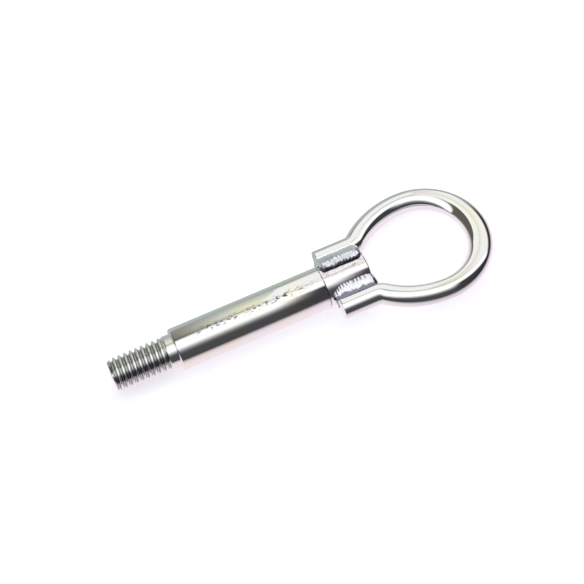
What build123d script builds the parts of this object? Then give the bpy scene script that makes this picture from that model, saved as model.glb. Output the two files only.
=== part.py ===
# Screw-in towing eye: a turned steel shank with a screw thread at one end, and a round rod
# bent into an eye whose two legs are welded to the other end of the shank.
# Millimetres and degrees. X runs along the shank from the thread to the eye, Z is up, and the
# origin is on the screw axis in the plane of the shoulder that stops the thread. The eye lies
# as it would on a table, on the shank and on the +Y side of the loop.
import math
import os

from build123d import *

# Shank, turned from one bar
shank_diameter = 20.0
shank_length = 95.0
shoulder_chamfer = 1.2
seat_length = 22.0
seat_step = 0.5
shank_end_chamfer = 0.8

# Screw end of the shank, drawn at the thread's outer diameter
thread_diameter = 16.0
thread_section_length = 30.5
tip_chamfer = 1.4
tip_chamfer_length = 1.8

# Ring, bent from one round rod
rod_diameter = 10.0
eye_inner_width = 43.6
eye_inner_length = 50.8
leg_bend_radius = 7.0
leg_bend_setback = 2.6
leg_end_setback = 3.0
root_gap = 0.15

# Weld beads: the toes are angles round the seat and round the leg, from the line between them.
# A lean is how far across the bead, from the seat towards the leg, its crest stands.
broad_seat_toe = 84.0
heaped_leg_toe = 70.0
heaped_crown = 4.0
heaped_lean = 0.3
heaped_end_chamfer = 1.5
low_leg_toe = 76.0
low_crown = 2.0
narrow_seat_toe = 24.0
narrow_leg_toe = 74.0
narrow_crown = 0.9
level_lean = 0.5
bead_overrun = 1.2
bead_end_chamfer = 0.9
bead_toe_sink = 0.5
bead_root_height = 1.6

# Radii and places that follow from the driving dimensions
shank_radius = shank_diameter / 2
seat_radius = shank_radius - seat_step
thread_radius = thread_diameter / 2
rod_radius = rod_diameter / 2
leg_offset = seat_radius + root_gap + rod_radius
end_radius = eye_inner_width / 2 + rod_radius
eye_far_x = shank_length + eye_inner_length + rod_diameter
eye_centre_x = eye_far_x - rod_radius - end_radius
leg_start_x = shank_length - seat_length + leg_end_setback
bend_start_x = shank_length - leg_bend_setback

# The leg bend and the eye's flank are two tangent arcs that turn through one angle, out and back
flare_run = eye_centre_x - bend_start_x
flare_rise = end_radius - leg_offset
flare_angle = 2 * math.atan(flare_rise / flare_run)
bend_end_x = bend_start_x + leg_bend_radius * math.sin(flare_angle)
bend_end_y = leg_offset + leg_bend_radius * (1 - math.cos(flare_angle))
flare_direction = (math.cos(flare_angle), math.sin(flare_angle))

# Lying on the shank, the loop rolls about the screw axis until its +Y side meets the table
lie_angle = math.asin((shank_radius - rod_radius) / end_radius)
loop_plane = Plane(
    origin=(0, 0, 0),
    x_dir=(1, 0, 0),
    z_dir=(0, math.sin(lie_angle), math.cos(lie_angle)),
)
mirror_plane = Plane(origin=(0, 0, 0), x_dir=(1, 0, 0), z_dir=loop_plane.y_dir)


def write_part(part, name):
    """Label a finished piece and write it to its own file."""
    part.label = name
    export_step(part, f"parts/{name}.step")


os.makedirs("parts", exist_ok=True)

# Shank: half its outline on the XZ plane, turned about the screw axis
with BuildPart() as shank:
    with BuildSketch(Plane.XZ):
        with BuildLine():
            Polyline(
                (-thread_section_length, 0),
                (-thread_section_length, thread_radius - tip_chamfer),
                (-thread_section_length + tip_chamfer_length, thread_radius),
                (0, thread_radius),
                (0, shank_radius - shoulder_chamfer),
                (shoulder_chamfer, shank_radius),
                (shank_length - seat_length, shank_radius),
                (shank_length - seat_length, seat_radius),
                (shank_length - shank_end_chamfer, seat_radius),
                (shank_length, seat_radius - shank_end_chamfer),
                (shank_length, 0),
                close=True,
            )
        make_face()
    revolve(axis=Axis.X)
write_part(shank.part, "shank")

# Ring: the rod follows a leg, its bend, the flank and half the round end, then the mirror image
with BuildPart() as ring:
    with BuildLine(loop_plane) as loop_line:
        Line((leg_start_x, leg_offset), (bend_start_x, leg_offset))
        TangentArc((bend_start_x, leg_offset), (bend_end_x, bend_end_y), tangent=(1, 0))
        TangentArc((bend_end_x, bend_end_y), (eye_centre_x, end_radius), tangent=flare_direction)
        TangentArc((eye_centre_x, end_radius), (eye_centre_x + end_radius, 0), tangent=(1, 0))
        mirror(about=mirror_plane)
    rod_start = loop_plane.from_local_coords((leg_start_x, leg_offset, 0))
    with BuildSketch(Plane(origin=rod_start, x_dir=loop_plane.y_dir, z_dir=(1, 0, 0))):
        Circle(rod_radius)
    sweep(path=loop_line.wire())
write_part(ring.part, "ring")


def weld_bead(name, side, face, seat_toe, leg_toe, crown, lean, end_chamfer):
    """Lay one bead in the valley between the seat and a leg, cut to fit both.

    side is 1 for the +Y leg and -1 for the other, face is 1 for the upper valley and -1 below.
    """
    seat_angle = math.radians(seat_toe)
    leg_angle = math.radians(leg_toe)
    seat_toe_radius = seat_radius - bead_toe_sink
    leg_toe_radius = rod_radius - bead_toe_sink
    toe_on_seat = (seat_toe_radius * math.cos(seat_angle), seat_toe_radius * math.sin(seat_angle))
    toe_on_leg = (
        leg_offset - leg_toe_radius * math.cos(leg_angle),
        leg_toe_radius * math.sin(leg_angle),
    )
    across = toe_on_leg[0] - toe_on_seat[0]
    rise = toe_on_leg[1] - toe_on_seat[1]
    chord = math.hypot(across, rise)
    crest = (
        toe_on_seat[0] + lean * across - crown * rise / chord,
        toe_on_seat[1] + lean * rise + crown * across / chord,
    )

    def placed(point):
        return (point[0] * side, point[1] * face)

    section_plane = Plane(
        origin=(leg_start_x, 0, 0), x_dir=loop_plane.y_dir, z_dir=(1, 0, 0)
    )
    with BuildPart() as bead:
        with BuildSketch(section_plane):
            with BuildLine():
                TangentArc(placed(crest), placed(toe_on_seat), tangent=placed((-across, -rise)))
                TangentArc(placed(crest), placed(toe_on_leg), tangent=placed((across, rise)))
                Polyline(
                    placed(toe_on_leg),
                    placed((leg_offset - leg_toe_radius, bead_root_height)),
                    placed((seat_toe_radius, bead_root_height)),
                    placed(toe_on_seat),
                )
            make_face()
        extrude(amount=shank_length + bead_overrun - leg_start_x)
        chamfer(bead.edges().filter_by(GeomType.CIRCLE), length=end_chamfer)
        add(shank.part, mode=Mode.SUBTRACT)
        add(ring.part, mode=Mode.SUBTRACT)
    write_part(bead.part, name)


# The +Y leg has broad beads, heaped above and low below, and the other leg has narrow ones
weld_bead(
    "weld_broad_top", 1, 1, broad_seat_toe, heaped_leg_toe, heaped_crown, heaped_lean, heaped_end_chamfer
)
weld_bead(
    "weld_broad_bottom", 1, -1, broad_seat_toe, low_leg_toe, low_crown, level_lean, bead_end_chamfer
)
weld_bead(
    "weld_narrow_top", -1, 1, narrow_seat_toe, narrow_leg_toe, narrow_crown, level_lean, bead_end_chamfer
)
weld_bead(
    "weld_narrow_bottom", -1, -1, narrow_seat_toe, narrow_leg_toe, narrow_crown, level_lean, bead_end_chamfer
)
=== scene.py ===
import math

import bmesh
import bpy
from mathutils import Matrix, Vector


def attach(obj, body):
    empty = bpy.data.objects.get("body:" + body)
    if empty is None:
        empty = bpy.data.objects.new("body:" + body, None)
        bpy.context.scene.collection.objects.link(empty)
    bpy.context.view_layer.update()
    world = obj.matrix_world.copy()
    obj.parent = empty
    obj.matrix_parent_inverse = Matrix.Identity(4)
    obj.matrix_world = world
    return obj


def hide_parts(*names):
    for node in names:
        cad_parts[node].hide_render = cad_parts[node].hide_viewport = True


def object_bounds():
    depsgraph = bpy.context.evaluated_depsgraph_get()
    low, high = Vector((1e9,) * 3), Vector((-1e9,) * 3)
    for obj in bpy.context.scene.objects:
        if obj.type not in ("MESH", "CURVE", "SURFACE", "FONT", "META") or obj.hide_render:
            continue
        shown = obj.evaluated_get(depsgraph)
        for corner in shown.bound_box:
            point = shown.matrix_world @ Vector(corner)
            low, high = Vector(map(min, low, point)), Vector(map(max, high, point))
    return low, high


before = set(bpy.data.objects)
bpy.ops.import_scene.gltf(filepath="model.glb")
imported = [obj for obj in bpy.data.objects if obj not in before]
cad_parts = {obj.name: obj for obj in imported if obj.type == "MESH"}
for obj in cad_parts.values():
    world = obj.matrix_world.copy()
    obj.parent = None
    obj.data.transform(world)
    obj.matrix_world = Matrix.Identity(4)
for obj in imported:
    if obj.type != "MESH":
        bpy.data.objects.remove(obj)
cad_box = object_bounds()

# Shank: one round steel bar, turned to a shoulder, a plain neck and a slightly thinner seat for
# the legs of the ring, with a coarse left-hand thread on the thin end. It is zinc plated with
# a clear passivate, which leaves faint straw and rose tints on the bright plate.
mm = 0.001
touching = 0.001 * mm
shank_radius = 10.0 * mm
seat_radius = 9.5 * mm
seat_start = 73.0 * mm
bar_segments = 144
thread_rows = 384
thread_sizes = {
    "Length": 30.5 * mm,
    "Crest radius": 8.0 * mm,
    "Depth": 1.55 * mm,
    "Pitch": 2.7 * mm,
    "Root share": 0.14,
    "Crest share": 0.16,
    "Tip radius": 6.6 * mm,
    "Tip chamfer": 1.8 * mm,
    "Start turn": 0.444,
    "Run-out start": -6.0 * mm,
    "Run-out end": -3.2 * mm,
}
spare_turns = 40.0
tip_rings = (0.94, 0.5, 0.05)

# Outline of the bar past the thread: millimetres along the screw axis, and the radius there
bar_outline = [
    (0.0, 8.0), (0.0, 9.2), (0.05, 9.34), (0.5, 9.9), (0.75, 10.0), (72.78, 10.0),
    (72.93, 9.95), (73.0, 9.82), (73.0, 9.6), (73.1, 9.5), (94.1, 9.5), (94.25, 9.46),
    (94.94, 8.78), (95.0, 8.64), (95.0, 6.0), (95.0, 0.8),
]

# Plate: colours, then the scale and detail of each noise, and the spans of it that show
zinc_colour = (0.87, 0.88, 0.88)
straw_tint = (0.90, 0.87, 0.70)
rose_tint = (0.90, 0.79, 0.88)
tint_strength = 0.55
cloud_noise = (55.0, 3.0)
straw_span = (0.48, 0.72)
rose_span = (0.46, 0.26)
haze_noise = (420.0, 4.0)
haze_span = (0.3, 0.75)
haze_sharpest = 0.8
haze_dullest = 1.5
grain_noise = (1900.0, 3.0)
bar_roughness = 0.075
bar_bump = 0.25
bar_bump_depth = 0.05 * mm
streak_stretch = (0.06, 1.0, 1.0)
streak_noise = (900.0, 2.0)
streak_depth = 0.35
mottle_noise = (620.0, 3.0)
mottle_depth = 0.9
bar_grain_depth = 0.18

# Pits in a line along the top of the bar, painted shade in the roots of the thread, a dark line
# that the heat of welding left at the step, and a flush of pink specks on the seat
pit_colour = (0.10, 0.09, 0.10)
pit_stretch = (0.45, 1.0, 1.0)
pit_noise = (1000.0, 2.5)
pit_span = (0.52, 0.62)
pit_line = math.radians(92.0)
pit_spread = math.radians(15.0)
pit_start = (6.0 * mm, 16.0 * mm)
pit_end = (72.0 * mm, 60.0 * mm)
pit_depth = 0.8
# Painted shade in the roots of the thread: its colour, the radii where it starts and is full, and
# where it fades in and out
root_shade_colour = (0.09, 0.12, 0.10)
root_shade_radius = (7.9 * mm, 6.8 * mm)
root_shade_start = (-2.0 * mm, -4.0 * mm)
root_shade_end = (-30.45 * mm, -30.2 * mm)
root_shade_strength = 0.5
scorch_colour = (0.07, 0.05, 0.04)
scorch_reach = (0.45 * mm, 0.15 * mm)
scorch_span = (0.40, 0.52)
scorch_strength = 0.9
flush_colour = (0.66, 0.44, 0.46)
flush_line = math.radians(82.0)
flush_spread = math.radians(22.0)
flush_span = (0.5, 0.64)
flush_strength = 0.8
flush_fade = 1.0 * mm


def put(tree, kind, inputs=None, **settings):
    """Add one node to a tree; an input is a plain value or another node's output."""
    made = tree.nodes.new(kind)
    for name, value in settings.items():
        setattr(made, name, value)
    for key, value in (inputs or {}).items():
        if isinstance(value, bpy.types.NodeSocket):
            tree.links.new(value, made.inputs[key])
        else:
            made.inputs[key].default_value = value
    return made


def calc(tree, operation, *terms):
    """Add one step of arithmetic to a tree and return its result."""
    return put(tree, "ShaderNodeMath", dict(enumerate(terms)), operation=operation).outputs[0]


def remap(tree, value, low, high, to_low=0.0, to_high=1.0, smooth=True):
    """Carry a value from one span to another, held at both ends."""
    spans = {"Value": value, "From Min": low, "From Max": high, "To Min": to_low, "To Max": to_high}
    bend = "SMOOTHSTEP" if smooth else "LINEAR"
    return put(tree, "ShaderNodeMapRange", spans, interpolation_type=bend).outputs["Result"]


def apart(tree, value, middle):
    """How far a value is from a middle, on either side of it."""
    return calc(tree, "ABSOLUTE", calc(tree, "SUBTRACT", value, middle))


def noise(tree, place, scale, detail):
    """Cloudy noise over a place, mostly between 0.25 and 0.75."""
    cloudy = put(tree, "ShaderNodeTexNoise", {"Vector": place, "Scale": scale, "Detail": detail})
    return cloudy.outputs["Fac"]


def blend(tree, share, under, over):
    """Lay one colour over another; each is three numbers or another node's output."""
    inputs = {0: share}
    for socket, colour in ((6, under), (7, over)):
        given = isinstance(colour, bpy.types.NodeSocket)
        inputs[socket] = colour if given else (*colour, 1)
    return put(tree, "ShaderNodeMix", inputs, data_type="RGBA").outputs[2]


def start_tree(name, sizes):
    """Open a geometry tree with one named input for each size."""
    tree = bpy.data.node_groups.new(name, "GeometryNodeTree")
    geometry = "NodeSocketGeometry"
    tree.interface.new_socket("Geometry", in_out="INPUT", socket_type=geometry)
    for label in sizes:
        tree.interface.new_socket(label, in_out="INPUT", socket_type="NodeSocketFloat")
    tree.interface.new_socket("Geometry", in_out="OUTPUT", socket_type=geometry)
    return tree, tree.nodes.new("NodeGroupInput").outputs


def close_tree(tree, geometry, material):
    """End a geometry tree with real faces that carry their material."""
    real = put(tree, "GeometryNodeRealizeInstances", {"Geometry": geometry})
    dressed = put(tree, "GeometryNodeSetMaterial", {"Geometry": real.outputs[0]})
    dressed.inputs["Material"].default_value = material
    tree.links.new(dressed.outputs[0], tree.nodes.new("NodeGroupOutput").inputs[0])


def shaped(source, tree, sizes):
    """Run a geometry tree on a mesh or curve and return the result as a plain mesh."""
    maker = bpy.data.objects.new("maker", source)
    bpy.context.scene.collection.objects.link(maker)
    steps = maker.modifiers.new("shape", "NODES")
    steps.node_group = tree
    for socket in tree.interface.items_tree:
        if socket.name in sizes:
            steps[socket.identifier] = sizes[socket.name]
    result = maker.evaluated_get(bpy.context.evaluated_depsgraph_get())
    mesh = bpy.data.meshes.new_from_object(result)
    bpy.data.objects.remove(maker)
    return mesh


def finish_piece(name, body, material, node, sharp=38.0):
    """Make the finished piece from its mesh, put it on the root body and hide the part that it
    replaces.
    """
    bmesh.ops.remove_doubles(body, verts=body.verts, dist=touching)
    bmesh.ops.recalc_face_normals(body, faces=body.faces)
    mesh = bpy.data.meshes.new(name)
    body.to_mesh(mesh)
    body.free()
    mesh.materials.clear()
    mesh.materials.append(material)
    mesh.shade_smooth()
    mesh.set_sharp_from_angle(angle=math.radians(sharp))
    piece = bpy.data.objects.new(name, mesh)
    bpy.context.scene.collection.objects.link(piece)
    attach(piece, "root")
    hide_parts(node)


def plated_steel(name, colour, roughness):
    """Bright zinc plate with its gloss and tints, and the places that later detail hooks on to."""
    material = bpy.data.materials.new(name)
    material.use_nodes = True
    tree = material.node_tree
    place = tree.nodes.new("ShaderNodeTexCoord").outputs["Object"]
    cloud = noise(tree, place, *cloud_noise)
    straw = remap(tree, cloud, *straw_span, 0.0, tint_strength)
    rose = remap(tree, cloud, *rose_span, 0.0, tint_strength)
    tint = blend(tree, rose, blend(tree, straw, colour, straw_tint), rose_tint)
    haze = noise(tree, place, *haze_noise)
    gloss = remap(tree, haze, *haze_span, roughness * haze_sharpest, roughness * haze_dullest)
    grain = noise(tree, place, *grain_noise)
    shader = tree.nodes["Principled BSDF"]
    shader.inputs["Metallic"].default_value = 1.0
    tree.links.new(gloss, shader.inputs["Roughness"])
    return material, tree, place, tint, grain


def coat(tree, colour, relief, strength, depth):
    """Give a material its colour and its small relief."""
    shader = tree.nodes["Principled BSDF"]
    bump = put(tree, "ShaderNodeBump", {"Height": relief, "Strength": strength, "Distance": depth})
    tree.links.new(colour, shader.inputs["Base Color"])
    tree.links.new(bump.outputs[0], shader.inputs["Normal"])


bar_plate, tree, place, tint, grain = plated_steel("plated_bar", zinc_colour, bar_roughness)
drawn = put(tree, "ShaderNodeMapping", {"Vector": place, "Scale": streak_stretch})
streak = noise(tree, drawn.outputs[0], *streak_noise)
drawn = put(tree, "ShaderNodeMapping", {"Vector": place, "Scale": pit_stretch})
pits = noise(tree, drawn.outputs[0], *pit_noise)
mottle = noise(tree, place, *mottle_noise)
spot = put(tree, "ShaderNodeSeparateXYZ", {0: place}).outputs
round_bar = calc(tree, "ARCTAN2", spot["Z"], spot["Y"])

patch = remap(tree, apart(tree, round_bar, pit_line), pit_spread, 0.0)
patch = calc(tree, "MULTIPLY", patch, remap(tree, spot["X"], *pit_start))
patch = calc(tree, "MULTIPLY", patch, remap(tree, spot["X"], *pit_end))
pitted = calc(tree, "MULTIPLY", remap(tree, pits, *pit_span), patch)
colour = blend(tree, pitted, tint, pit_colour)

# Painted shade: the roots of the thread are darkened, more the deeper they lie, fading in past the
# neck and out at the tip
squares = [calc(tree, "POWER", spot[axis], 2.0) for axis in "YZ"]
from_axis = calc(tree, "SQRT", calc(tree, "ADD", *squares))
root_shade = remap(tree, from_axis, *root_shade_radius)
root_shade = calc(tree, "MULTIPLY", root_shade, remap(tree, spot["X"], *root_shade_start))
root_shade = calc(tree, "MULTIPLY", root_shade, remap(tree, spot["X"], *root_shade_end, 0.0, root_shade_strength))
colour = blend(tree, root_shade, colour, root_shade_colour)

scorch = remap(tree, apart(tree, spot["X"], seat_start), *scorch_reach)
scorch = calc(tree, "MULTIPLY", scorch, remap(tree, mottle, *scorch_span, 0.0, scorch_strength))
colour = blend(tree, scorch, colour, scorch_colour)

flush = remap(tree, apart(tree, round_bar, flush_line), flush_spread, 0.0)
flush = calc(tree, "MULTIPLY", flush, remap(tree, pits, *flush_span, 0.0, flush_strength))
flush = calc(tree, "MULTIPLY", flush, remap(tree, spot["X"], seat_start, seat_start + flush_fade))
colour = blend(tree, flush, colour, flush_colour)

relief = calc(tree, "MULTIPLY", streak, streak_depth)
relief = calc(tree, "ADD", relief, calc(tree, "MULTIPLY", mottle, mottle_depth))
relief = calc(tree, "ADD", relief, calc(tree, "MULTIPLY", grain, bar_grain_depth))
relief = calc(tree, "SUBTRACT", relief, calc(tree, "MULTIPLY", pitted, pit_depth))
coat(tree, colour, relief, bar_bump, bar_bump_depth)

# The thread is a flat sheet rolled round the axis, its radius set by how far the helix has turned
tree, size = start_tree("left_hand_thread", thread_sizes)
sheet = put(tree, "GeometryNodeMeshGrid", {
    "Vertices X": thread_rows,
    "Vertices Y": bar_segments + 1,
})
flat = put(tree, "GeometryNodeInputPosition").outputs[0]
spot = put(tree, "ShaderNodeSeparateXYZ", {0: flat}).outputs
along = calc(tree, "MULTIPLY", calc(tree, "SUBTRACT", spot["X"], 0.5), size["Length"])
turn = calc(tree, "ADD", spot["Y"], 0.5)
lead = calc(tree, "ADD", turn, calc(tree, "ADD", size["Start turn"], spare_turns))
phase = calc(tree, "FRACT", calc(tree, "ADD", calc(tree, "DIVIDE", along, size["Pitch"]), lead))
wave = calc(tree, "MULTIPLY", apart(tree, phase, 0.5), 2.0)
crest = remap(tree, wave, calc(tree, "SUBTRACT", 1.0, size["Root share"]), size["Crest share"])
fade = remap(tree, along, size["Run-out end"], size["Run-out start"])
depth = calc(tree, "MULTIPLY", fade, size["Depth"])
cut = calc(tree, "MULTIPLY", calc(tree, "SUBTRACT", 1.0, crest), depth)
thread = calc(tree, "SUBTRACT", size["Crest radius"], cut)
tip_start = calc(tree, "MULTIPLY", size["Length"], -1.0)
tip_end = calc(tree, "ADD", tip_start, size["Tip chamfer"])
cone = remap(
    tree, along, tip_start, tip_end, size["Tip radius"], size["Crest radius"], smooth=False
)
radius = calc(tree, "MINIMUM", thread, cone)
angle = calc(tree, "MULTIPLY", turn, 2 * math.pi)
target = put(tree, "ShaderNodeCombineXYZ", {
    "X": along,
    "Y": calc(tree, "MULTIPLY", radius, calc(tree, "COSINE", angle)),
    "Z": calc(tree, "MULTIPLY", radius, calc(tree, "SINE", angle)),
})
rolled = put(tree, "GeometryNodeSetPosition", {
    "Geometry": sheet.outputs[0],
    "Position": target.outputs[0],
})
close_tree(tree, rolled.outputs[0], bar_plate)

# The thread's sheet, a face that closes its tip, and the outline turned into the rest of the bar
body = bmesh.new()
body.from_mesh(shaped(bpy.data.meshes.new("thread_start"), tree, thread_sizes))
tip = [v for v in body.verts if v.co.x < -thread_sizes["Length"] + touching]
tip.sort(key=lambda v: math.atan2(v.co.z, v.co.y))
outer = tip
for share in tip_rings:
    inner = [body.verts.new((v.co.x, v.co.y * share, v.co.z * share)) for v in tip]
    for k in range(len(inner)):
        body.faces.new((outer[k - 1], outer[k], inner[k], inner[k - 1]))
    outer = inner
body.faces.new(outer)
turns = [2 * math.pi * k / bar_segments for k in range(bar_segments)]
rings = []
for x, r in bar_outline:
    circle = [(x * mm, r * mm * math.cos(a), r * mm * math.sin(a)) for a in turns]
    rings.append([body.verts.new(point) for point in circle])
for low, high in zip(rings, rings[1:]):
    for k in range(bar_segments):
        body.faces.new((low[k - 1], low[k], high[k], high[k - 1]))
body.faces.new(rings[-1])
finish_piece("towing_eye_shank", body, bar_plate, "shank")

# Ring: one length of round steel rod, bent cold into an eye whose two legs run back along the
# seat of the shank, where the welds hold them. The far end of the eye is pressed a little wider
# and flatter. Plated together with the shank.
rod_sizes = {
    "Rod radius": 5.0 * mm,
    "Eye centre": 124.0 * mm,
    "End radius": 26.79 * mm,
    "End spread": 1.8 * mm,
    "End flattening": 0.12,
    "Lie angle": -math.asin(5.0 / 26.8),
}
leg_start = 76.0 * mm
leg_offset = 14.65 * mm
leg_steps = 24
bend_start = 92.4 * mm
bend_radius = 7.0 * mm
rod_step = 0.7 * mm
rod_segments = 56
rim_round = 0.4 * mm
rod_roughness = 0.05
rod_bump = 0.14
rod_bump_depth = 0.08 * mm
dent_noise = (260.0, 2.0)
dent_depth = 0.8
rod_grain_depth = 0.10

rod_plate, tree, place, tint, grain = plated_steel("plated_rod", zinc_colour, rod_roughness)
dents = calc(tree, "MULTIPLY", noise(tree, place, *dent_noise), dent_depth)
relief = calc(tree, "ADD", dents, calc(tree, "MULTIPLY", grain, rod_grain_depth))
coat(tree, tint, relief, rod_bump, rod_bump_depth)

end_radius = rod_sizes["End radius"]
eye_centre = rod_sizes["Eye centre"]
flare = 2 * math.atan((end_radius - leg_offset) / (eye_centre - bend_start))
flank_radius = (eye_centre - bend_start - bend_radius * math.sin(flare)) / math.sin(flare)
bend_middle = (bend_start, leg_offset + bend_radius)
flank_middle = (eye_centre, end_radius - flank_radius)
end_middle = (eye_centre, 0.0)
quarter = math.pi / 2


def arc_points(centre, radius, first, last):
    """Points along an arc in the plane of the loop, without its first point."""
    count = max(2, round(abs(last - first) * radius / rod_step))
    turns = [first + (last - first) * k / count for k in range(1, count + 1)]
    return [(centre[0] + radius * math.cos(a), centre[1] + radius * math.sin(a)) for a in turns]


# Half of the rod's middle line: a leg, its bend, the flank and half the round end, then a mirror
leg_length = bend_start - leg_start
half = [(leg_start + leg_length * k / leg_steps, leg_offset) for k in range(leg_steps + 1)]
half += arc_points(bend_middle, bend_radius, -quarter, flare - quarter)
half += arc_points(flank_middle, flank_radius, quarter + flare, quarter)
half += arc_points(end_middle, end_radius, quarter, 0.0)
route_points = half + [(x, -y) for x, y in reversed(half[:-1])]
route = bpy.data.curves.new("rod_route", "CURVE")
route.dimensions = "3D"
spline = route.splines.new("POLY")
spline.points.add(len(route_points) - 1)
for point, (x, y) in zip(spline.points, route_points):
    point.co = (x, y, 0.0, 1.0)

# The rod follows that line, is pressed at the far end of the eye, and is rolled to lie on the table
tree, size = start_tree("bent_rod", rod_sizes)
section = put(tree, "GeometryNodeCurvePrimitiveCircle", {
    "Resolution": rod_segments,
    "Radius": size["Rod radius"],
})
rod = put(tree, "GeometryNodeCurveToMesh", {
    "Curve": size["Geometry"],
    "Profile Curve": section.outputs[0],
    "Fill Caps": True,
})
straight = put(tree, "GeometryNodeInputPosition").outputs[0]
spot = put(tree, "ShaderNodeSeparateXYZ", {0: straight}).outputs
ahead = calc(tree, "SUBTRACT", spot["X"], size["Eye centre"])
squares = [calc(tree, "POWER", distance, 2.0) for distance in (ahead, spot["Y"])]
reach = calc(tree, "SQRT", calc(tree, "ADD", *squares))
facing = calc(tree, "MAXIMUM", calc(tree, "DIVIDE", ahead, reach), 0.0)
press = calc(tree, "POWER", facing, 2.0)
outer = calc(tree, "ADD", size["End radius"], size["Rod radius"])
thickness = calc(tree, "MULTIPLY", size["Rod radius"], 2.0)
depth = calc(tree, "DIVIDE", calc(tree, "SUBTRACT", outer, reach), thickness)
spread = calc(tree, "MULTIPLY", press, calc(tree, "MULTIPLY", depth, size["End spread"]))
shrink = calc(tree, "DIVIDE", calc(tree, "SUBTRACT", reach, spread), reach)
thin = calc(tree, "SUBTRACT", 1.0, calc(tree, "MULTIPLY", press, size["End flattening"]))
target = put(tree, "ShaderNodeCombineXYZ", {
    "X": calc(tree, "ADD", size["Eye centre"], calc(tree, "MULTIPLY", ahead, shrink)),
    "Y": calc(tree, "MULTIPLY", spot["Y"], shrink),
    "Z": calc(tree, "MULTIPLY", spot["Z"], thin),
})
pressed = put(tree, "GeometryNodeSetPosition", {
    "Geometry": rod.outputs[0],
    "Position": target.outputs[0],
})
roll = put(tree, "ShaderNodeCombineXYZ", {"X": size["Lie angle"]})
lying = put(tree, "GeometryNodeTransform", {
    "Geometry": pressed.outputs[0],
    "Rotation": roll.outputs[0],
})
close_tree(tree, lying.outputs[0], rod_plate)

# The cut ends of the legs have a small rounded rim
body = bmesh.new()
body.from_mesh(shaped(route, tree, rod_sizes))
bmesh.ops.remove_doubles(body, verts=body.verts, dist=touching)
rims = [e for e in body.edges if all(v.co.x < leg_start + 10 * touching for v in e.verts)]
bmesh.ops.bevel(body, geom=rims, offset=rim_round, segments=3, profile=0.6, affect="EDGES")
finish_piece("towing_eye_ring", body, rod_plate, "ring")

# Welds: four beads of weld metal fill the valleys between the seat and the two legs, laid by hand
# above and below. The beads on one leg are broad and reach the top of the seat, those on the
# other are slimmer. All are rippled and lumpy under the plate, and duller than the turned steel.
bead_end = 96.2 * mm
bead_sink = 0.5 * mm
bead_root = 1.6 * mm
root_inset = 0.3 * mm
root_depth = 0.2 * mm
bead_rows = 130
half_columns = 30
end_round = 4.6 * mm
end_share = 0.12
crown_slope = 2.2
box_margin = 0.02 * mm
lump_share = 0.32
# How far the painted shade on the front toe reaches across the slim beads
slim_front_shade = 0.14
bead_sharp = 70.0

# Name, leg (1 for +Y), face (1 for above), the degrees to its toes on the seat and on the leg, the
# crown's height, how far across its crest stands, where it starts, that end's rounding, and a seed
beads = [
    ("weld_broad_top", 1, 1, 86.0, 66.0, 3.9 * mm, 0.27, 73.7 * mm, 1.8 * mm, 3.0),
    ("weld_broad_bottom", 1, -1, 84.0, 76.0, 1.8 * mm, 0.5, 75.5 * mm, 2.5 * mm, 11.0),
    ("weld_narrow_top", -1, 1, 49.0, 76.0, 0.4 * mm, 0.5, 74.4 * mm, 6.5 * mm, 21.0),
    ("weld_narrow_bottom", -1, -1, 24.0, 74.0, 0.8 * mm, 0.5, 75.6 * mm, 2.5 * mm, 33.0),
]
bead_sizes = {
    "Ripple spacing": 1.7 * mm,
    "Ripple height": 0.17 * mm,
    "Ripple bow": 2.4 * mm,
    "Ripple wander": 5.0 * mm,
    "Lump height": 0.25 * mm,
    "Seed": 0.0,
}
sway_scale = 150.0
sway_detail = 1.0
lump_scale = 170.0
lump_detail = 1.6
weld_colour = (0.86, 0.88, 0.95)
# Dark scale; the same colour also serves as the painted shade on each bead's front toe
scale_and_shade_colour = (0.17, 0.18, 0.22)
scale_noise = (330.0, 2.0)
scale_span = (0.55, 0.75)
scale_strength = 0.5
# Where the painted shade on each bead's front toe starts and is full, its strength and its ragged
# edge
front_toe_shade_span = (0.68, 0.84)
front_toe_shade_strength = 0.95
front_toe_shade_ragged = 0.5
weld_roughness = 0.17
weld_bump = 0.12
weld_bump_depth = 0.1 * mm
weld_grain_depth = 0.5

weld_plate, tree, place, tint, grain = plated_steel("plated_weld", weld_colour, weld_roughness)
scale = noise(tree, place, *scale_noise)
# Painted shade: each bead is darkened along its toe on the front side, towards -Y, mixed with dark
# scale at random
front = put(tree, "ShaderNodeAttribute", attribute_name="front").outputs["Fac"]
torn = calc(tree, "MULTIPLY", calc(tree, "SUBTRACT", scale, 0.5), front_toe_shade_ragged)
front_toe_shade = remap(tree, calc(tree, "ADD", front, torn), *front_toe_shade_span, 0.0, front_toe_shade_strength)
scale_and_shade = calc(tree, "MAXIMUM", remap(tree, scale, *scale_span, 0.0, scale_strength), front_toe_shade)
relief = calc(tree, "MULTIPLY", grain, weld_grain_depth)
coat(tree, blend(tree, scale_and_shade, tint, scale_and_shade_colour), relief, weld_bump, weld_bump_depth)

# Ripples follow the bead's length, bowed where its crown is high, and lumps lift it unevenly
tree, size = start_tree("laid_bead", bead_sizes)
floats = {"data_type": "FLOAT"}
along = put(tree, "GeometryNodeInputNamedAttribute", {"Name": "along"}, **floats).outputs[0]
crown = put(tree, "GeometryNodeInputNamedAttribute", {"Name": "crown"}, **floats).outputs[0]
sway = put(tree, "ShaderNodeTexNoise", {
    "W": size["Seed"],
    "Scale": sway_scale,
    "Detail": sway_detail,
}, noise_dimensions="4D").outputs["Fac"]
wander = calc(tree, "MULTIPLY", calc(tree, "SUBTRACT", sway, 0.5), size["Ripple wander"])
bow = calc(tree, "MULTIPLY", crown, size["Ripple bow"])
bowed = calc(tree, "ADD", calc(tree, "ADD", along, wander), bow)
cycles = calc(tree, "DIVIDE", bowed, size["Ripple spacing"])
cycle = calc(tree, "SINE", calc(tree, "MULTIPLY", cycles, 2 * math.pi))
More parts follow.
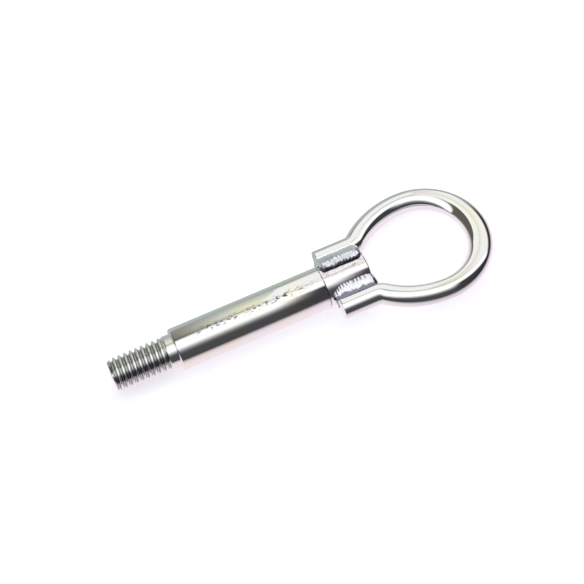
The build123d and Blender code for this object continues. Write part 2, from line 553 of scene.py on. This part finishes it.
ripple = calc(tree, "MULTIPLY", cycle, calc(tree, "MULTIPLY", size["Ripple height"], sway))
lump = put(tree, "ShaderNodeTexNoise", {
    "W": size["Seed"],
    "Scale": lump_scale,
    "Detail": lump_detail,
}, noise_dimensions="4D").outputs["Fac"]
swell = calc(tree, "MULTIPLY", calc(tree, "SUBTRACT", lump, 0.5), size["Lump height"])
lift = calc(tree, "MULTIPLY", calc(tree, "ADD", ripple, swell), crown)
outward = put(tree, "GeometryNodeInputNormal").outputs[0]
offset = put(tree, "ShaderNodeVectorMath", {0: outward, "Scale": lift}, operation="SCALE")
laid = put(tree, "GeometryNodeSetPosition", {
    "Geometry": size["Geometry"],
    "Offset": offset.outputs[0],
})
close_tree(tree, laid.outputs[0], weld_plate)

lie = Matrix.Rotation(rod_sizes["Lie angle"], 4, "X")
seat_reach = seat_radius - bead_sink
leg_reach = rod_sizes["Rod radius"] - bead_sink
root = Vector((seat_reach + root_inset, bead_root))
for name, side, face, seat_toe, leg_toe, height, lean, bead_start, start_round, seed in beads:
    # Section of the bead: two arcs that meet at its crest, from the seat's toe to the leg's
    seat_angle = math.radians(seat_toe)
    leg_angle = math.radians(leg_toe)
    toe_a = Vector((seat_reach * math.cos(seat_angle), seat_reach * math.sin(seat_angle)))
    toe_b = Vector((leg_offset - leg_reach * math.cos(leg_angle), leg_reach * math.sin(leg_angle)))
    width = (toe_b - toe_a).length
    chord = (toe_b - toe_a).normalized()
    rise = Vector((-chord.y, chord.x))
    crest = lean * width
    outline = []
    for run, way_out in ((crest, -1), (width - crest, 1)):
        radius = (run ** 2 + height ** 2) / (2 * height)
        spread = 2 * math.atan(height / run)
        turns = [spread * k / half_columns for k in range(half_columns + 1)]
        drops = [height - radius * (1 - math.cos(a)) for a in turns]
        arc = [(crest + way_out * radius * math.sin(a), drop) for a, drop in zip(turns, drops)]
        outline += arc[:0:-1] if way_out < 0 else arc

    # Rows of that section along the bead, sinking to its root where both ends are rounded
    body = bmesh.new()
    along_layer = body.verts.layers.float.new("along")
    crown_layer = body.verts.layers.float.new("crown")
    front_layer = body.verts.layers.float.new("front")
    loops = []
    for i in range(bead_rows + 1):
        x = bead_start + (bead_end - bead_start) * i / bead_rows
        near = min((x - bead_start) / start_round, (bead_end - x) / end_round, 1.0)
        full = math.sqrt(max(0.0, 1.0 - (1.0 - near) ** 2))
        loop = []
        for k, (across, above) in enumerate(outline):
            point = toe_a + chord * across + rise * above
            point = root.lerp(point, end_share + (1.0 - end_share) * full)
            vert = body.verts.new(lie @ Vector((x, point.x * side, point.y * face)))
            share = k / (len(outline) - 1)
            vert[along_layer] = x
            vert[crown_layer] = min(1.0, crown_slope * above / height) * full
            # front runs to 1 at the bead's toe on the -Y side, where the painted shade falls
            vert[front_layer] = 1.0 - share if side > 0 else share + slim_front_shade
            loop.append(vert)
        below = Vector((x, root.x * side, (root.y - root_depth) * face))
        loop.append(body.verts.new(lie @ below))
        loops.append(loop)
    for low, high in zip(loops, loops[1:]):
        for k in range(len(low)):
            body.faces.new((low[k - 1], low[k], high[k], high[k - 1]))
    body.faces.new(loops[0])
    body.faces.new(loops[-1])
    bmesh.ops.recalc_face_normals(body, faces=body.faces)
    plain = bpy.data.meshes.new(name + "_plain")
    body.to_mesh(plain)
    body.free()

    # Ripples and lumps are laid on, and kept within the height that the solids have
    lump_height = lump_share * height + bead_sizes["Lump height"]
    body = bmesh.new()
    body.from_mesh(shaped(plain, tree, {**bead_sizes, "Seed": seed, "Lump height": lump_height}))
    for vert in body.verts:
        vert.co.z = min(max(vert.co.z, -shank_radius + box_margin), cad_box[1].z - box_margin)
    finish_piece("towing_eye_" + name, body, weld_plate, name, sharp=bead_sharp)

# Floor: a plain white studio table with a soft gloss, level with the underside of the shank. What
# the plate mirrors of it is bright beside the object, grey behind it and dark farther to the front.
floor_reach = 6.0
floor_colour = (0.83, 0.82, 0.83)
floor_lift = (0.56, 0.56, 0.60)
floor_roughness = 0.25
near_front = (1.0, 0.88, 0.96)
near_back = (0.50, 0.55, 0.53)
far_front = (0.05, 0.05, 0.055)
far_back = (0.42, 0.46, 0.44)
pool_middle = 63.0 * mm
pool_length = 93.0 * mm
pool_width = 10.0 * mm
pool_fade = 80.0 * mm
edge_turn = (85.0 * mm, 105.0 * mm)
edge_sides = (-4.0 * mm, 24.0 * mm)
edge_blur = 10.0 * mm
right_end = (160.0 * mm, 260.0 * mm)

floor_mesh = bpy.data.meshes.new("studio_floor")
sides = ((-1, -1), (1, -1), (1, 1), (-1, 1))
corners = [(x * floor_reach, y * floor_reach, cad_box[0].z) for x, y in sides]
floor_mesh.from_pydata(corners, [], [(0, 1, 2, 3)])
floor = bpy.data.objects.new("studio_floor", floor_mesh)
bpy.context.scene.collection.objects.link(floor)
floor_paint = bpy.data.materials.new("studio_floor")
floor_paint.use_nodes = True
tree = floor_paint.node_tree
shader = tree.nodes["Principled BSDF"]
shader.inputs["Base Color"].default_value = (*floor_colour, 1)
shader.inputs["Roughness"].default_value = floor_roughness
shader.inputs["Emission Color"].default_value = (*floor_lift, 1)
rays = tree.nodes.new("ShaderNodeLightPath").outputs
tree.links.new(rays["Is Camera Ray"], shader.inputs["Emission Strength"])
place = tree.nodes.new("ShaderNodeTexCoord").outputs["Object"]
spot = put(tree, "ShaderNodeSeparateXYZ", {0: place}).outputs
aside = calc(tree, "SUBTRACT", apart(tree, spot["X"], pool_middle), pool_length)
off = calc(tree, "SUBTRACT", calc(tree, "ABSOLUTE", spot["Y"]), pool_width)
squares = [calc(tree, "POWER", calc(tree, "MAXIMUM", d, 0.0), 2.0) for d in (aside, off)]
far = calc(tree, "DIVIDE", calc(tree, "ADD", *squares), pool_fade ** 2)
pool = calc(tree, "DIVIDE", 1.0, calc(tree, "ADD", 1.0, far))
edge = remap(tree, spot["X"], *edge_turn, *edge_sides)
behind = remap(tree, calc(tree, "SUBTRACT", spot["Y"], edge), 0.0, edge_blur)
near = blend(tree, behind, near_front, near_back)
rest = blend(tree, behind, far_front, far_back)
rest = blend(tree, remap(tree, spot["X"], *right_end), rest, far_front)
table = blend(tree, pool, rest, near)
mirrored = put(tree, "ShaderNodeEmission", {"Color": table, "Strength": 1.0})
choice = put(tree, "ShaderNodeMixShader", {
    0: rays["Is Glossy Ray"],
    1: shader.outputs[0],
    2: mirrored.outputs[0],
})
tree.links.new(choice.outputs[0], tree.nodes["Material Output"].inputs["Surface"])
floor_mesh.materials.append(floor_paint)

# Light: a room with a broad white softbox overhead, a pale wall behind and dark sides in front and
# to the right, which is what the bright plate mirrors. A white card behind the eye, which the
# camera doesn't see, brightens the upper side of the ring.
half_turn = 180.0
bands = [
    (0, (0.46, 0.50, 0.47)), (30, (0.70, 0.73, 0.68)), (44, (0.90, 0.88, 0.70)),
    (57, (0.86, 0.85, 0.70)), (60, (0.48, 0.47, 0.38)), (63, (0.50, 0.50, 0.44)),
    (66, (0.74, 0.74, 0.72)), (79, (1.2, 1.2, 1.2)), (110, (1.2, 1.2, 1.2)),
    (118, (0.85, 0.85, 0.86)), (127, (0.40, 0.40, 0.41)), (137, (0.14, 0.14, 0.15)),
    (146, (0.075, 0.075, 0.08)), (180, (0.07, 0.07, 0.075)),
]
beyond_span = (74 / half_turn, 66 / half_turn)
front_span = (98 / half_turn, 112 / half_turn)
pale_side = (0.2, 0.5)
pale_colour = (1.0, 1.0, 0.98)
front_side = (0.18, 0.45)
front_colour = (0.05, 0.05, 0.055)
right_side = (0.55, 0.8)
right_height = (0.42, 0.22)
right_colour = (0.03, 0.03, 0.035)
left_side = (0.12, -0.35)
left_colour = (0.13, 0.12, 0.095)
seen_colour = (1.0, 1.0, 1.0)
card_span = (0.085, 0.175)
card_height = (0.04, 0.30)
card_back = 0.15
card_light = (1.0, 1.0, 0.98)

world = bpy.data.worlds.new("studio_light")
bpy.context.scene.world = world
world.use_nodes = True
tree = world.node_tree
way = tree.nodes.new("ShaderNodeTexCoord").outputs["Generated"]
way = put(tree, "ShaderNodeSeparateXYZ", {0: way}).outputs
lift = calc(tree, "MULTIPLY", calc(tree, "ARCTAN2", way["Z"], way["Y"]), 1 / math.pi)
dome = put(tree, "ShaderNodeValToRGB", {"Fac": lift})
stops = dome.color_ramp.elements
while len(stops) < len(bands):
    stops.new(1.0)
for stop, (degrees, colour) in zip(stops, bands):
    stop.position = degrees / half_turn
    stop.color = (*colour, 1)
beyond = remap(tree, lift, *beyond_span)
pale = calc(tree, "MULTIPLY", remap(tree, way["X"], *pale_side), beyond)
left = calc(tree, "MULTIPLY", remap(tree, way["X"], *left_side), beyond)
front = calc(tree, "MULTIPLY", remap(tree, way["X"], *front_side), remap(tree, lift, *front_span))
right = remap(tree, way["X"], *right_side)
right = calc(tree, "MULTIPLY", right, remap(tree, way["Z"], *right_height))
room = blend(tree, pale, dome.outputs[0], pale_colour)
room = blend(tree, front, room, front_colour)
room = blend(tree, right, room, right_colour)
room = blend(tree, left, room, left_colour)
seen = tree.nodes.new("ShaderNodeLightPath").outputs["Is Camera Ray"]
room = blend(tree, seen, room, seen_colour)
tree.links.new(room, tree.nodes["Background"].inputs["Color"])

card_mesh = bpy.data.meshes.new("studio_card")
corners = ((0, 0), (1, 0), (1, 1), (0, 1))
corners = [(card_span[i], card_back, card_height[j]) for i, j in corners]
card_mesh.from_pydata(corners, [], [(0, 1, 2, 3)])
card_paint = bpy.data.materials.new("studio_card")
card_paint.use_nodes = True
shader = card_paint.node_tree.nodes["Principled BSDF"]
shader.inputs["Base Color"].default_value = (0, 0, 0, 1)
shader.inputs["Emission Color"].default_value = (*card_light, 1)
shader.inputs["Emission Strength"].default_value = 1.0
card_mesh.materials.append(card_paint)
card = bpy.data.objects.new("studio_card", card_mesh)
bpy.context.scene.collection.objects.link(card)
card.visible_camera = False
card.visible_diffuse = False
card.visible_shadow = False

# Camera: above the near side of the shank, at the photograph's angle.
camera_place = (-0.05552, -0.30089, 0.70292)
camera_turn = (24.817, 1.692, -24.310)
lens = bpy.data.cameras.new("camera")
lens.lens = 104.87
lens.sensor_width = 36.0
camera = bpy.data.objects.new("camera", lens)
camera.location = camera_place
camera.rotation_euler = [math.radians(a) for a in camera_turn]
bpy.context.scene.collection.objects.link(camera)
bpy.context.scene.camera = camera
bpy.context.scene.view_settings.view_transform = "Standard"
